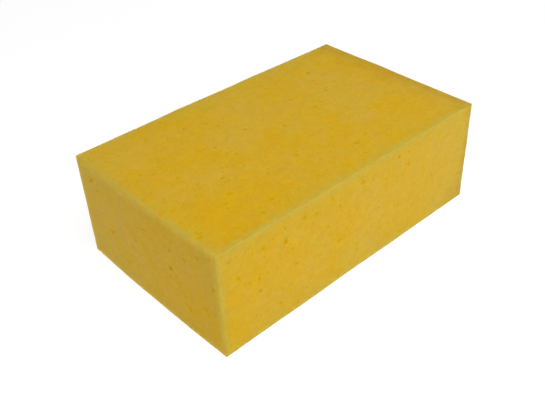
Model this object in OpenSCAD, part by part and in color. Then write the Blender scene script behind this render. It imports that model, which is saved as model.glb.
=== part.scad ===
// Foam sponge: one rectangular block of open-cell foam, cut on all six sides.
//
// The origin is the middle of the underside. X runs along the length, Y along the width and
// +Z is up. All sizes are in millimetres.
//
// The block is a box whose twelve edges are softened to one radius. Open cells break through
// every face as round pores: shallow spherical hollows, spread by a seeded random rule with a
// size that leans towards the small end.

/* [Block] */
// Length of the block, along X
block_l = 180; // [80:1:300]
// Width of the block, along Y
block_w = 110; // [60:1:200]
// Height of the block, along Z
block_h = 61; // [30:1:120]

/* [Edges] */
// Radius of the softened edges and corners
edge_r = 1; // [0.5:0.1:5]

/* [Pores] */
// Large pores in each square decimetre of surface
pores_per_dm2 = 36; // [0:1:60]
// Diameter of the smallest of these pores
pore_d_min = 1.4; // [1:0.1:2]
// Diameter of the largest of these pores
pore_d_max = 3.4; // [2.5:0.1:5]
// Depth of a pore, as a share of its diameter
pore_depth = 0.35; // [0.1:0.05:0.45]
// Seed of the rule that spreads the pores
pore_seed = 11; // [1:1:999]

/* [Hidden] */
$fn = 48;

MM2_PER_DM2 = 10000;

// A pore keeps this far from the edge of its face, so it never cuts into a softened edge
pore_margin = edge_r + pore_d_max;

// The six faces: the turn that brings +Z to the face, the face's distance from the middle of
// the block, and its two sides as they lie along X and Y before that turn
FACES = [
    [[0, 0, 0], block_h / 2, block_l, block_w],
    [[180, 0, 0], block_h / 2, block_l, block_w],
    [[90, 0, 0], block_w / 2, block_l, block_h],
    [[-90, 0, 0], block_w / 2, block_l, block_h],
    [[0, 90, 0], block_l / 2, block_h, block_w],
    [[0, -90, 0], block_l / 2, block_h, block_w],
];

// A flat rectangle around the origin, with its four corners rounded
module rounded_rectangle(size_x, size_y, radius) {
    square([size_x - 2 * radius, size_y], center = true);
    square([size_x, size_y - 2 * radius], center = true);
    for (side_x = [-1, 1], side_y = [-1, 1])
        translate([side_x * (size_x / 2 - radius), side_y * (size_y / 2 - radius)])
            circle(r = radius);
}

// A bar along Z around the origin, with its four long edges rounded
module rounded_bar(size_x, size_y, length) {
    linear_extrude(length, center = true)
        rounded_rectangle(size_x, size_y, edge_r);
}

// The block around the origin before its pores are opened: what three bars, one along each
// axis, have in common. Each bar rounds four of the twelve edges.
module softened_box() {
    intersection() {
        rounded_bar(block_l, block_w, block_h);
        rotate([90, 0, 0]) rounded_bar(block_l, block_h, block_w);
        rotate([0, 90, 0]) rounded_bar(block_h, block_w, block_l);
    }
}

// A value between low and high, the given share of the way along
function between(low, high, share) = low + (high - low) * share;

// The pores of one face, which lies on the XY plane and faces +Z
module pores(size_x, size_y, seed) {
    reach_x = size_x / 2 - pore_margin;
    reach_y = size_y / 2 - pore_margin;
    count = floor(pores_per_dm2 * size_x * size_y / MM2_PER_DM2);
    // Three random shares for each pore: its place along X, its place along Y and its size
    shares = rands(0, 1, 3 * count, seed);

    for (i = [0 : 1 : count - 1]) {
        x = between(-reach_x, reach_x, shares[3 * i]);
        y = between(-reach_y, reach_y, shares[3 * i + 1]);
        // The square of an even spread favours small pores over large ones
        diameter = between(pore_d_min, pore_d_max, pow(shares[3 * i + 2], 2));
        // The middle of the sphere stands above the face, so that it cuts no deeper than it should
        translate([x, y, diameter * (0.5 - pore_depth)])
            sphere(d = diameter);
    }
}

// The foam block, standing on its underside
module foam_block() {
    color("goldenrod")
        translate([0, 0, block_h / 2])
            difference() {
                softened_box();
                for (i = [0 : len(FACES) - 1]) {
                    turn = FACES[i][0];
                    distance = FACES[i][1];
                    rotate(turn)
                        translate([0, 0, distance])
                            pores(FACES[i][2], FACES[i][3], pore_seed + i);
                }
            }
}

foam_block();
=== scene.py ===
"""The looks of a foam sponge: one cut block of open-cell foam, in the frame of its CAD model.

The block is one closed mesh. Each side is a flat set of points, close together around every pore
and along the edges, joined into triangles. The points are then moved: onto the softened edges,
down into the pores, and along the slight bow and waves of a block that was cut by hand.
"""

import math
from dataclasses import dataclass

import bmesh
import bpy
import numpy as np
from mathutils import Matrix, Vector, noise
from mathutils.geometry import delaunay_2d_cdt
from mathutils.kdtree import KDTree


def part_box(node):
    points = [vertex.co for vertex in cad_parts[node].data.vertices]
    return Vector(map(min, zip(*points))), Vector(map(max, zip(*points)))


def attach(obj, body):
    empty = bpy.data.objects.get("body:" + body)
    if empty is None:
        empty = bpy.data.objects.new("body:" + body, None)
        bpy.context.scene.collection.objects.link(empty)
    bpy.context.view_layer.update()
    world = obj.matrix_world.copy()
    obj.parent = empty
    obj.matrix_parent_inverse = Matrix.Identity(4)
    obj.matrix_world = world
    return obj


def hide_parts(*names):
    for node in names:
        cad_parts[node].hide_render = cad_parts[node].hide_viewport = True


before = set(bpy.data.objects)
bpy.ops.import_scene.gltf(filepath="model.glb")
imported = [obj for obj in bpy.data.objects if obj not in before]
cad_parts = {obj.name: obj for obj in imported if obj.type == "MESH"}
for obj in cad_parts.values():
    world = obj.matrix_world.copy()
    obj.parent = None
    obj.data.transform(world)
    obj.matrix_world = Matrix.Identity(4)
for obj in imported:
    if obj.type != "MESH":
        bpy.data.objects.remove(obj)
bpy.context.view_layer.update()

MM = 0.001
CM = 10 * MM
LOW, HIGH = (np.array(corner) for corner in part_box("foam_block"))
HALF = (HIGH - LOW) / 2
MIDDLE = (HIGH + LOW) / 2
X, Y, Z = range(3)
SIDES = [(axis, side) for axis in (X, Y, Z) for side in (-1, 1)]
NO_DISTANCE = 0.001 * MM  # anything shorter counts as none
POINT_DECIMALS = 7  # points that agree to this many decimals of a metre are one point

# --- Shape of the block, in metres ---

EDGE_RADIUS = 0.5 * MM
# Rows of points beside each edge, as shares of its radius, and their spacing along it
EDGE_ROWS = (0.0, 0.27, 0.55, 1.0, 2.4)
EDGE_SPACING = 1.1 * MM
BORDER = EDGE_ROWS[-1] * EDGE_RADIUS  # width of the rows together
SURFACE_SPACING = 1.9 * MM
SURFACE_JITTER = 0.3
# How far the middles of two sides stand out, (axis, side): amount
BOWS = {(X, -1): 0.8 * MM, (Y, 1): 0.8 * MM}
# How far some corners of the sawn block are off a true box, in millimetres, by their sides
CORNER_SHIFTS = {
    (-1, 1, 1): (-0.4, 0.3, 0.1),
    (1, 1, 1): (0.3, -0.4, -0.1),
    (1, -1, 1): (-0.3, 0.3, -0.2),
    (-1, -1, 1): (-0.1, 0.0, -0.1),
    (-1, -1, -1): (0.5, -0.2, 0.0),
}
# Slow waves in the cut faces, and the finer unevenness of the foam itself: (size, height)
WAVES = [(28 * MM, 0.22 * MM), (7 * MM, 0.08 * MM)]
GRAIN_HEIGHT = 0.035 * MM

# --- How open the foam is, from 0 to 1 ---

OPEN_MEAN = 0.35
OPEN_PATCH = 24 * MM  # size of the patches where it is more or less open
OPEN_PATCH_RISE = 0.35
OPEN_CORNER_RISE = 0.4  # towards the upright edge where x and y are lowest
OPEN_AND_SHEEN_BY_SIDE = {X: -0.15, Y: -0.05, Z: 0.25}  # how much more open each side is, by the axis it lies across; a less open side shows more pale film, so this also paints a sheen, palest on the small sides
OPEN_LEAST = 0.05

# --- Pores ---

SEED = 7
# (candidates in each square centimetre, smallest and largest radius)
PORE_SIZES = [
    (0.20, 1.05 * MM, 1.45 * MM),
    (1.6, 0.65 * MM, 1.05 * MM),
    (6.2, 0.40 * MM, 0.65 * MM),
]
SIZE_BIAS = 1.5  # above 1, small pores are more common than large ones
PORE_DEPTH = (0.26, 0.42)  # least and most, as shares of the radius
PORE_STRETCH = (1.0, 1.35)
STRETCH_BIAS = 2  # above 1, round pores are more common than long ones
PORE_GAP = 1.15  # least distance between two pores, as a share of their radii together
MERGED_SHARE = 0.2  # of the pores, which may run into a neighbour
MERGED_GAP = 0.75
LOBES = ((2, 0.10), (3, 0.07))  # waves round a pore's outline, and their height
FULL_DEPTH = 0.34 * MM  # a pore this deep takes the full painted pore shade

RINGS = (1.2, 1.0, 0.62, 0.3)  # rings of points, as shares of the pore's outline
RING_SPACING = 0.5 * MM
OUTLINE_LEAST = 7  # points of a ring on or around the outline, at least
INNER_LEAST = 5  # the same, for a ring inside it
SMALL_PORE = 0.65 * MM  # a pore of this radius or less does without the innermost ring
RING_CLEARANCE = 1.1  # how far the outer ring keeps other points away, as a share of itself
BORDER_CLEARANCE = 1.05  # the same, for the rows along an edge
JOIN_DISTANCE = 1e-5  # millimetres

# The pores that stand out most, by the side that they are on, in millimetres: their place from
# the middle of the side, and their radius
NOTABLE_PORES = {
    (Z, 1): [
        (-86, -40, 1.6), (-56, -24, 1.7), (-50, -16, 1.5), (-45, -41, 1.5), (-40, -47, 1.3),
        (-62, -29, 1.3), (-65, 3, 1.4), (-36, 11, 1.5), (3, 1, 1.5), (28, 4, 1.6), (57, 17, 1.4),
        (49, 15, 1.2), (17, -37, 1.4), (22, -40, 1.3), (13, -46, 1.3), (-38, 40, 1.4),
        (-1, 14, 1.2), (-14, 13, 1.2), (-55, -46, 1.3), (-30, -22, 1.2), (2, -24, 1.1),
    ],
    (Y, -1): [
        (-50, 15.5, 1.8), (-83, 23.5, 1.3), (-64, 19.5, 1.5), (-38, 22.5, 1.4), (-30, 20.5, 1.5),
        (-19, 23.5, 1.4), (2, 22.5, 1.4), (29, 24.5, 1.4), (-14, -4.5, 1.5), (-67, 3.5, 1.4),
        (-73, 4.5, 1.3), (-67, -3.5, 1.3), (-63, -9.5, 1.1), (-55, -19.5, 1.3), (84, -12.5, 1.2),
    ],
    (X, -1): [
        (42, 22.5, 1.5), (-42, 22.5, 1.6), (-41, 17.0, 1.2), (-32, 15.5, 1.2), (-21, 14.5, 1.3),
        (-20, 3.5, 1.5), (-2, 15.5, 1.2), (-51, 9.5, 1.3), (31, -4.5, 1.4), (-45, -10.5, 1.2),
    ],
}

# --- Far end, where the foam has a deeper colour ---

# How far the tint of its edges reaches, by the axis that a side lies across
FAR_WIDTHS = {X: 8 * MM, Y: 8 * MM, Z: 22 * MM}
FAR_CORNER = (1, -1, -1)
FAR_CORNER_REACH = 30 * MM


def in_side(axis):
    """The two axes that lie in a side."""
    return [k for k in range(3) if k != axis]


def on_side(flat, axis, side):
    """Points given in a side's two directions, on the flat box around its middle."""
    points = np.zeros((len(flat), 3))
    points[:, in_side(axis)] = flat
    points[:, axis] = side * HALF[axis]
    return points


def by_side(values, points):
    """For each point of the flat box, the value for the axis that its side lies across."""
    return np.array([values[axis] for axis in range(3)])[np.abs(points / HALF).argmax(1)]


def openness(points):
    """How open the foam is at points of the flat box, shifted on each side to paint a sheen."""
    patches = np.array([noise.noise(Vector(p / OPEN_PATCH)) for p in points])
    shares = points / HALF
    corner = (1 - shares[:, X]) * (1 - shares[:, Y]) / 4
    raised = OPEN_MEAN + OPEN_PATCH_RISE * patches + OPEN_CORNER_RISE * corner
    return np.clip(raised + by_side(OPEN_AND_SHEEN_BY_SIDE, points), OPEN_LEAST, 1)


def edge_gap(points):
    """How far points of the flat box are from its nearest edge."""
    return np.sort(HALF - np.abs(points), axis=1)[:, 1]


def far_share(points):
    """How near points of the flat box are to the edges or the low corner of the far end."""
    from_end = HALF[X] - points[:, X]
    gap = np.where(from_end > NO_DISTANCE, from_end, edge_gap(points))
    from_corner = np.linalg.norm(points - HALF * FAR_CORNER, axis=1)
    share = np.maximum(1 - gap / by_side(FAR_WIDTHS, points), 1 - from_corner / FAR_CORNER_REACH)
    return np.clip(share, 0, 1)


@dataclass
class Pore:
    """One pore, on one side of the flat box."""

    axis: int
    side: int
    place: np.ndarray  # its centre, in the side's own two directions
    radius: float
    stretch: float
    turn: float
    depth: float
    phases: tuple

    def outline(self, angle):
        """The outline's distance from the centre, as a share of the radius."""
        return 1 + sum(
            height * np.sin(count * angle + phase)
            for (count, height), phase in zip(LOBES, self.phases)
        )

    def ring(self, share, count):
        """Points of a ring, in the side's own two directions."""
        angle = np.arange(count) * math.tau / count + self.turn
        reach = self.radius * share * self.outline(angle)
        along, across = reach * np.cos(angle) * self.stretch, reach * np.sin(angle)
        c, s = math.cos(self.turn), math.sin(self.turn)
        return self.place + np.stack([along * c - across * s, along * s + across * c], 1)

    def rings(self):
        """The rings of points from around the pore down to its centre."""
        count = max(OUTLINE_LEAST, round(math.tau * self.radius / RING_SPACING))
        shares = RINGS if self.radius > SMALL_PORE else RINGS[:-1]
        counts = [max(INNER_LEAST, round(count * min(1, share))) for share in shares]
        return [self.ring(*row) for row in zip(shares, counts)] + [self.place[None]]

    def centre(self):
        """Its centre on the flat box, from the block's middle."""
        return on_side(self.place[None], self.axis, self.side)[0]

    def share_at(self, points):
        """How far points on the flat box are from the centre: 1 on the outline."""
        u, v = in_side(self.axis)
        d = points - self.centre()
        c, s = math.cos(self.turn), math.sin(self.turn)
        along = (d[:, u] * c + d[:, v] * s) / self.stretch
        across = d[:, v] * c - d[:, u] * s
        away = np.sqrt(along**2 + across**2 + d[:, self.axis] ** 2)
        return away / (self.radius * self.outline(np.arctan2(across, along)))


def new_pore(axis, side, place, radius, draw):
    """A pore of that place and radius, with the rest of its shape from five random shares."""
    return Pore(
        axis,
        side,
        np.array(place),
        radius,
        stretch=PORE_STRETCH[0] + np.ptp(PORE_STRETCH) * draw[0] ** STRETCH_BIAS,
        turn=draw[1] * math.pi,
        depth=radius * (PORE_DEPTH[0] + np.ptp(PORE_DEPTH) * draw[2]),
        phases=(draw[3] * math.tau, draw[4] * math.tau),
    )


def has_room(place, radius, gap, taken):
    """Whether a pore would keep its distance from all that are there already."""
    return all(
        np.hypot(*(p.place - place)) >= gap * (p.radius * p.stretch + radius) for p in taken
    )


def scattered_pores(axis, side, size, taken, rng):
    """Random pores of one size on one side, more of them where the foam is more open."""
    density, smallest, largest = size
    half = HALF[in_side(axis)]
    count = round(density * np.prod(2 * half) / CM**2)
    flat = rng.uniform(-1, 1, (count, 2)) * half
    chances = openness(on_side(flat, axis, side))
    pores = []
    for place, chance in zip(flat, chances):
        draw = rng.random(8)
        if draw[0] > chance:
            continue
        radius = smallest + (largest - smallest) * draw[1] ** SIZE_BIAS
        gap = MERGED_GAP if draw[2] < MERGED_SHARE else PORE_GAP
        if has_room(place, radius, gap, taken + pores):
            pores.append(new_pore(axis, side, place, radius, draw[3:]))
    return pores


def on_this_side(pores, axis, side):
    """Those of the pores that are on one side."""
    return [p for p in pores if (p.axis, p.side) == (axis, side)]


def make_pores(rng):
    """The pores of every side, the large ones first."""
    pores = [
        new_pore(axis, side, (u * MM, v * MM), radius * MM, rng.random(5))
        for (axis, side), rows in NOTABLE_PORES.items()
        for u, v, radius in rows
    ]
    for size in PORE_SIZES:
        for axis, side in SIDES:
            taken = on_this_side(pores, axis, side)
            pores += scattered_pores(axis, side, size, taken, rng)
    return pores


def knots(half):
    """Places along one side of a face: close rows at both ends, and even steps between."""
    rows = np.array(EDGE_ROWS) * EDGE_RADIUS
    inner = half - BORDER
    steps = round(2 * inner / EDGE_SPACING)
    between = np.linspace(-inner, inner, steps + 1)[1:-1]
    return np.concatenate([rows - half, between, half - rows[::-1]])


def border_points(half_u, half_v):
    """The rows of points along the four edges of a face."""
    u, v = np.meshgrid(knots(half_u), knots(half_v), indexing="ij")
    reach = BORDER + NO_DISTANCE
    near = (half_u - np.abs(u) < reach) | (half_v - np.abs(v) < reach)
    return np.stack([u[near], v[near]], 1)


def surface_points(half_u, half_v, rng):
    """Evenly spread points inside the border, each a little off its place."""
    inner = BORDER + SURFACE_SPACING / 2
    lines = [
        np.linspace(inner - half, half - inner, round(2 * (half - inner) / SURFACE_SPACING) + 1)
        for half in (half_u, half_v)
    ]
    u, v = np.meshgrid(*lines, indexing="ij")
    flat = np.stack([u.ravel(), v.ravel()], 1)
    return flat + rng.uniform(-1, 1, flat.shape) * SURFACE_JITTER * SURFACE_SPACING


def side_triangles(axis, side, pores, rng):
    """The points of one side, on the flat box, and the triangles that join them."""
    half = HALF[in_side(axis)]
    border = border_points(*half)
    inside = surface_points(*half, rng)
    rings = []
    for pore in pores:
        spread = on_side(inside, axis, side)
        inside = inside[pore.share_at(spread) > RINGS[0] * RING_CLEARANCE]
        rings += pore.rings()
    rings = np.concatenate(rings)
    rings = rings[(np.abs(rings) < half - BORDER * BORDER_CLEARANCE).all(1)]
    flat = np.concatenate([border, inside, rings])
    joined = delaunay_2d_cdt([Vector(p / MM) for p in flat], [], [], 0, JOIN_DISTANCE)
    corners = np.array([tuple(p) for p in joined[0]]) * MM
    return on_side(corners, axis, side), np.array(joined[2])


def pore_depths(points, pores):
    """How deep each point of the flat box lies in a pore."""
    tree = KDTree(len(points))
    for i, p in enumerate(points):
        tree.insert(p, i)
    tree.balance()
    depths = np.zeros(len(points))
    for pore in pores:
        widest = pore.radius * pore.stretch * (1 + sum(height for _, height in LOBES))
        near = [i for _, i, _ in tree.find_range(Vector(pore.centre()), widest)]
        if near:
            share = pore.share_at(points[near])
            depths[near] = np.maximum(depths[near], pore.depth * np.clip(1 - share**2, 0, 1))
    return depths


def soften(points):
    """Points of the flat box on the block with softened edges, and the way out at each."""
    core = np.clip(points, EDGE_RADIUS - HALF, HALF - EDGE_RADIUS)
    out = points - core
    out /= np.linalg.norm(out, axis=1, keepdims=True)
    return core + out * EDGE_RADIUS, out


def bend(points):
    """The bows, leaning corners and waves of the cut block, added to points around its middle."""
    moved = points.copy()
    for sides, shift in CORNER_SHIFTS.items():
        share = np.prod((1 + np.array(sides) * points / HALF) / 2, axis=1)
        moved += share[:, None] * np.array(shift) * MM
    for (axis, side), amount in BOWS.items():
        along = in_side(axis)[0]
        near = np.clip(side * points[:, axis] / HALF[axis], 0, 1) ** 2
        moved[:, axis] += side * amount * near * (1 - (points[:, along] / HALF[along]) ** 2)
    for size, height in WAVES:
        moved += height * np.array([noise.noise_vector(Vector(p / size)) for p in points])
    return moved


def turn_outwards(mesh):
    """Turns every triangle outwards, shades them smooth, and prints how many edges are open."""
    work = bmesh.new()
    work.from_mesh(mesh)
    bmesh.ops.recalc_face_normals(work, faces=work.faces)
    open_edges = [e for e in work.edges if not e.is_manifold]
    print("open edges:", len(open_edges), "volume mm3:", round(work.calc_volume() / MM**3))
    work.to_mesh(mesh)
    work.free()
    mesh.polygons.foreach_set("use_smooth", [True] * len(mesh.polygons))


def foam_mesh():
    """The whole block as one closed mesh, with what its material needs at each point."""
    rng = np.random.default_rng(SEED)
    noise.seed_set(SEED)  # without this, noise_vector takes its seed from the clock
    pores = make_pores(rng)
    all_points, all_triangles, count = [], [], 0
    for axis, side in SIDES:
        own = on_this_side(pores, axis, side)
        points, triangles = side_triangles(axis, side, own, rng)
        all_points.append(points)
        all_triangles.append(triangles + count)
        count += len(points)
    points = np.round(np.concatenate(all_points), POINT_DECIMALS)
    points, joined = np.unique(points, axis=0, return_inverse=True)
    triangles = joined.ravel()[np.concatenate(all_triangles)]

    depths = pore_depths(points, pores)
    softened, out = soften(points)
    grain = GRAIN_HEIGHT * rng.uniform(-1, 1, len(points)) * (depths == 0)
    shaped = bend(softened - out * (depths - grain)[:, None]) + MIDDLE
    shaped[:, Z] = np.maximum(shaped[:, Z], LOW[Z])

    mesh = bpy.data.meshes.new("foam_sponge")
    mesh.from_pydata(shaped.tolist(), [], triangles.tolist())
    values = {
        "pore": np.clip(depths / FULL_DEPTH, 0, 1),
        "edge_gap": edge_gap(points),
        "open": openness(points),
        "end": np.abs(points[:, X]) > HALF[X] - NO_DISTANCE,
        "far": far_share(points),
    }
    for name, value in values.items():
        attribute = mesh.attributes.new(name, "FLOAT", "POINT")
        attribute.data.foreach_set("value", value.astype(np.float32))
    print("foam mesh:", len(pores), "pores,", len(shaped), "points,", len(triangles), "triangles")
    turn_outwards(mesh)
    return mesh


@dataclass
class Mottle:
    """A noise pattern: the size of its spots, its detail, and the values that it runs between."""

    size: float
    detail: float
    low: float = 0.0
    high: float = 1.0
    roughness: float = 0.5


class Nodes:
    """Short names for what a node tree is made of."""

    def __init__(self, tree):
        self.tree = tree

    def add(self, kind, inputs=None, **settings):
        node = self.tree.nodes.new(kind)
        for name, value in settings.items():
            setattr(node, name, value)
        for name, value in (inputs or {}).items():
            self.put(node.inputs[name], value)
        return node

    def put(self, socket, value):
        if isinstance(value, bpy.types.NodeSocket):
            self.tree.links.new(value, socket)
        else:
            socket.default_value = value

    def attribute(self, name):
        return self.add("ShaderNodeAttribute", attribute_name=name).outputs["Fac"]

    def sum(self, a, b):
        return self.add("ShaderNodeMath", {0: a, 1: b}, operation="ADD").outputs[0]

    def mix(self, share, a, b, blend="MIX"):
        node = self.add("ShaderNodeMix", data_type="RGBA", blend_type=blend)
        for index, value in ((0, share), (6, a), (7, b)):
            self.put(node.inputs[index], (*value, 1) if isinstance(value, tuple) else value)
        return node.outputs[2]

    def tint(self, share, colour, tint):
        """The colour, multiplied by the tint as far as the share says."""
        return self.mix(share, colour, tint, "MULTIPLY")

    def noise(self, size, detail, roughness):
        place = self.add("ShaderNodeTexCoord").outputs["Object"]
        node = self.add(
            "ShaderNodeTexNoise",
            {"Vector": place, "Scale": 1 / size, "Detail": detail, "Roughness": roughness},
        )
        return node.outputs["Fac"]

    def cells(self, size):
        """How far a point is from the nearest of many scattered ones, as a share of the size."""
        place = self.add("ShaderNodeTexCoord").outputs["Object"]
        node = self.add("ShaderNodeTexVoronoi", {"Vector": place, "Scale": 1 / size})
        return node.outputs["Distance"]

    def ranged(self, value, start, end, low=0.0, high=1.0, smooth=False):
        node = self.add(
            "ShaderNodeMapRange",
            {"Value": value, "From Min": start, "From Max": end, "To Min": low, "To Max": high},
            interpolation_type="SMOOTHSTEP" if smooth else "LINEAR",
        )
        return node.outputs["Result"]

    def fading(self, value, full, gone, smooth=True):
        """1 up to the first value, and 0 from the second one on."""
        return self.ranged(value, full, gone, 1.0, 0.0, smooth)

    def mottled(self, pattern):
        """A noise between the pattern's two values."""
        value = self.noise(pattern.size, pattern.detail, pattern.roughness)
        return self.ranged(value, *NOISE_RANGE, pattern.low, pattern.high)


def new_material(name):
    """A material, its nodes and its shader."""
    material = bpy.data.materials.new(name)
    material.use_nodes = True
    return material, Nodes(material.node_tree), material.node_tree.nodes["Principled BSDF"]


# --- Foam material, with colours as linear red, green and blue ---

NOISE_RANGE = (0.3, 0.7)  # most of a noise texture's values lie between these

# The pale film is partly painted sheen: its paleness and extra blue stand in for white light
# reflected off the outer surface
PALE_FILM_AND_SHEEN = (0.596, 0.393, 0.052)
OPEN_COLOUR = (0.645, 0.372, 0.010)
OPEN_PATCHES = Mottle(8.0 * MM, 2, low=-0.19, high=0.17)

# Painted shade in the pores: less blue and more saturated, as shaded light bounced between the
# walls would make it
YELLOW_PORE_SHADE = (0.600, 0.376, 0.001)
ORANGE_PORE_SHADE = (0.605, 0.318, 0.002)

# The pale band along an edge, partly paler foam at the cut and partly painted sheen, is full up
# to the first distance, and ends at the second one
EDGE_BAND = (1.0 * MM, 4.4 * MM)
PALE_EDGE_AND_SHEEN = (0.535, 0.390, 0.050)
END_EDGE_PAINTED_LIGHT = (0.600, 0.412, 0.052)  # on the two small sides: lighter still, painted light that spills over the edge from the lit top onto these dimmer sides
EDGE_WOBBLE = Mottle(5.0 * MM, 3, low=-1.0 * MM, high=1.0 * MM, roughness=0.6)

# Each tint is what the colour is multiplied by, at an edge, on the rounded edge itself (painted
# shade, against the highlight its curve catches), on the two small sides and around the far end
EDGE_TINT = (0.94, 0.99, 1.0)
EDGE_TINT_WIDTH = 14.0 * MM
# Painted shade on the rounded edge itself: full up to the first distance of the next value, gone
# at the second
RIM_PAINTED_SHADE = (0.87, 0.87, 0.87)
RIM_SHADE_REACH = (0.2 * MM, 1.1 * MM)
END_TINT = (0.99, 0.96, 1.05)
FAR_TINT = (0.89, 0.825, 0.95)
FAR_FADE = (0.17, 1.1)  # where the tint starts and is full, once the patches have been added

# The fine grain: specks, changes of hue, and dots of painted shade in the cells too small to be
# pores
DEEP_SPECK = (0.990, 0.986, 0.80)
PALE_SPECK = (1.010, 1.012, 1.20)
SPECKS = Mottle(3.0 * MM, 2)
GREEN_TINT = (0.991, 1.007, 1.0)
RED_TINT = (1.009, 0.993, 1.0)
HUES = Mottle(2.6 * MM, 1)
CELL_PAINTED_SHADE = (0.94, 0.925, 0.72)
DOT_SPACING = 2.0 * MM
DOT_REACH = (0.16, 0.36)  # a dot is full up to here and ends there, as shares of the spacing
FINE_SHADE = Mottle(1.7 * MM, 3, low=-0.017, high=0.017, roughness=0.7)
BROAD_SHADE = Mottle(6.0 * MM, 2, low=0.985, high=1.03)

FOAM_ROUGHNESS = 0.95
FOAM_SPECULAR = 0.05
FOAM_GLOW = 0.8  # share of the light that wanders inside the foam
FOAM_DEPTH = 5.0 * MM  # how far it gets
COLOUR_DEPTHS = (1.0, 0.6, 0.15)  # the same for red, green and blue light, as shares
BUMP_SIZE = 0.9 * MM
BUMP_DETAIL = 3
BUMP_ROUGHNESS = 0.65
BUMP_STRENGTH = 0.3
BUMP_HEIGHT = 0.12 * MM


def cut_surface(n, patches):
    """A pale film, partly painted sheen, and deeper colour where the foam is more open."""
    bare = n.sum(n.attribute("open"), patches)
    return n.mix(bare, PALE_FILM_AND_SHEEN, OPEN_COLOUR)


def with_edges(n, colour, patches):
    """The colour with its pale band along the edges, partly painted sheen, painted shade on the
    rounded edge itself, and the tints of edges and ends.
    """
    gap = n.sum(n.attribute("edge_gap"), n.mottled(EDGE_WOBBLE))
    colour = n.tint(n.fading(gap, 0.0, EDGE_TINT_WIDTH, smooth=False), colour, EDGE_TINT)
    colour = n.tint(n.attribute("end"), colour, END_TINT)
    band_and_sheen_colour = n.mix(n.attribute("end"), PALE_EDGE_AND_SHEEN, END_EDGE_PAINTED_LIGHT)
    colour = n.mix(n.fading(gap, *EDGE_BAND), colour, band_and_sheen_colour)
    far = n.ranged(n.sum(n.attribute("far"), patches), *FAR_FADE, smooth=True)
    colour = n.tint(far, colour, FAR_TINT)
    return n.tint(n.fading(n.attribute("edge_gap"), *RIM_SHADE_REACH), colour, RIM_PAINTED_SHADE)


def with_grain(n, colour):
    """The colour with its specks, changes of hue and dots of painted shade."""
    speck = n.mix(n.mottled(SPECKS), DEEP_SPECK, PALE_SPECK)
    colour = n.tint(1.0, colour, speck)
    hue = n.mix(n.mottled(HUES), GREEN_TINT, RED_TINT)
    colour = n.tint(1.0, colour, hue)
    # dots of painted shade, where the small cells would be shaded
    dots = n.fading(n.cells(DOT_SPACING), *DOT_REACH)
    return n.tint(dots, colour, CELL_PAINTED_SHADE)


def with_pores(n, colour):
    """The colour, turning yellow to orange down in the pores: painted shade, with the sheen gone
    and light bounced between the walls.
    """
    pore_shade_colour = n.mix(n.attribute("open"), ORANGE_PORE_SHADE, YELLOW_PORE_SHADE)
    return n.mix(n.attribute("pore"), colour, pore_shade_colour)


def with_shade(n, colour):
    """The colour, a little lighter and darker from place to place."""
    shade = n.sum(n.mottled(FINE_SHADE), n.mottled(BROAD_SHADE))
    channels = {"Red": shade, "Green": shade, "Blue": shade}
    grey = n.add("ShaderNodeCombineColor", channels).outputs["Color"]
    return n.tint(1.0, colour, grey)


def foam_material():
    """Dry foam, which light enters and leaves again a little way off."""
    material, n, shader = new_material("yellow_foam")
    patches = n.mottled(OPEN_PATCHES)
    colour = cut_surface(n, patches)
    colour = with_edges(n, colour, patches)
    colour = with_grain(n, colour)
    colour = with_pores(n, colour)
    colour = with_shade(n, colour)
    n.put(shader.inputs["Base Color"], colour)
    n.put(shader.inputs["Roughness"], FOAM_ROUGHNESS)
    n.put(shader.inputs["Specular IOR Level"], FOAM_SPECULAR)
    n.put(shader.inputs["Subsurface Weight"], FOAM_GLOW)
    n.put(shader.inputs["Subsurface Radius"], COLOUR_DEPTHS)
    n.put(shader.inputs["Subsurface Scale"], FOAM_DEPTH)
    height = n.noise(BUMP_SIZE, BUMP_DETAIL, BUMP_ROUGHNESS)
    bump = n.add(
        "ShaderNodeBump",
        {"Height": height, "Strength": BUMP_STRENGTH, "Distance": BUMP_HEIGHT},
    )
    n.put(shader.inputs["Normal"], bump.outputs["Normal"])
    return material


sponge = bpy.data.objects.new("foam_sponge", foam_mesh())
bpy.context.scene.collection.objects.link(sponge)
sponge.data.materials.append(foam_material())
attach(sponge, "root")
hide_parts("foam_block")

# --- Stage, in metres and watts ---

FLOOR_SIZE = 12.0
FLOOR_COLOUR = (0.2, 0.2, 0.2)
FLOOR_GLOW = 0.87
WHITE = (1, 1, 1, 1)
# The sky is bright up to the first angle above the horizon, and dark from the second one up,
# as (degrees, strength)
BRIGHT_SKY = (12, 0.88)
DARK_SKY = (20, 0.0)
# The soft lamps, as (place, size, power): the main one, and a low fill behind the far corner
LAMPS = [
    ((-0.13, -0.43, 0.97), 0.7, 11.0),
    ((0.6, 0.6, 0.06), 0.1, 1.6),
]
# The camera: its place, the way it looks, its turn about that way in degrees, and its lens and
# sensor in millimetres
CAMERA_PLACE = (-0.2266, -0.2470, 0.2626)
CAMERA_LOOKS = (0.5321, 0.6030, -0.5943)
CAMERA_ROLL = -2.31
CAMERA_LENS = 49.4
SENSOR_WIDTH = 36.0
NEAREST_SEEN = 0.01  # nothing nearer to the camera is shown


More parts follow.
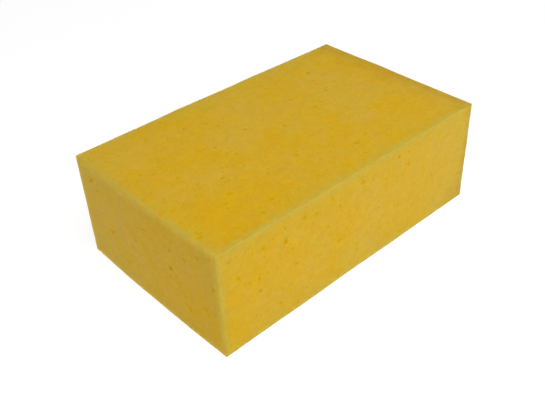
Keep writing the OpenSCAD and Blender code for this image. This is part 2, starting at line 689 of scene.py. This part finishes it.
def make_floor():
    """A plain pale floor that gives most of its own light, so that shadows stay faint."""
    reach = FLOOR_SIZE / 2
    corners = [(x * reach, y * reach, LOW[Z]) for x, y in ((-1, -1), (1, -1), (1, 1), (-1, 1))]
    mesh = bpy.data.meshes.new("floor")
    mesh.from_pydata(corners, [], [(0, 1, 2, 3)])
    floor = bpy.data.objects.new("floor", mesh)
    bpy.context.scene.collection.objects.link(floor)
    material, n, shader = new_material("pale_floor")
    n.put(shader.inputs["Base Color"], (*FLOOR_COLOUR, 1))
    n.put(shader.inputs["Roughness"], 1.0)
    n.put(shader.inputs["Specular IOR Level"], 0.0)
    n.put(shader.inputs["Emission Color"], WHITE)
    n.put(shader.inputs["Emission Strength"], FLOOR_GLOW)
    mesh.materials.append(material)


def make_world():
    """A white sky, bright near the horizon and dark above."""
    world = bpy.data.worlds.new("studio")
    world.use_nodes = True
    n = Nodes(world.node_tree)
    way = n.add("ShaderNodeTexCoord").outputs["Generated"]
    height = n.add("ShaderNodeSeparateXYZ", {"Vector": way}).outputs["Z"]
    low, high = (math.sin(math.radians(angle)) for angle, _ in (BRIGHT_SKY, DARK_SKY))
    strength = n.ranged(height, low, high, BRIGHT_SKY[1], DARK_SKY[1])
    background = world.node_tree.nodes["Background"]
    n.put(background.inputs["Color"], WHITE)
    n.put(background.inputs["Strength"], strength)
    bpy.context.scene.world = world


def make_lamp(place, size, power):
    """A round soft lamp that faces the block."""
    light = bpy.data.lights.new("lamp", "AREA")
    light.shape = "DISK"
    light.size = size
    light.energy = power
    lamp = bpy.data.objects.new("lamp", light)
    lamp.location = place
    lamp.rotation_mode = "QUATERNION"
    lamp.rotation_quaternion = (Vector(MIDDLE) - Vector(place)).to_track_quat("-Z", "Y")
    bpy.context.scene.collection.objects.link(lamp)


def make_camera():
    """The camera, where the values above put it."""
    data = bpy.data.cameras.new("camera")
    data.sensor_width = SENSOR_WIDTH
    data.lens = CAMERA_LENS
    data.clip_start = NEAREST_SEEN
    camera = bpy.data.objects.new("camera", data)
    turn = Vector(CAMERA_LOOKS).to_track_quat("-Z", "Y").to_matrix()
    turn = turn @ Matrix.Rotation(math.radians(CAMERA_ROLL), 3, "Z")
    camera.matrix_world = Matrix.Translation(CAMERA_PLACE) @ turn.to_4x4()
    bpy.context.scene.collection.objects.link(camera)
    bpy.context.scene.camera = camera


make_floor()
make_world()
for place, size, power in LAMPS:
    make_lamp(place, size, power)
make_camera()
bpy.context.scene.view_settings.view_transform = "Standard"
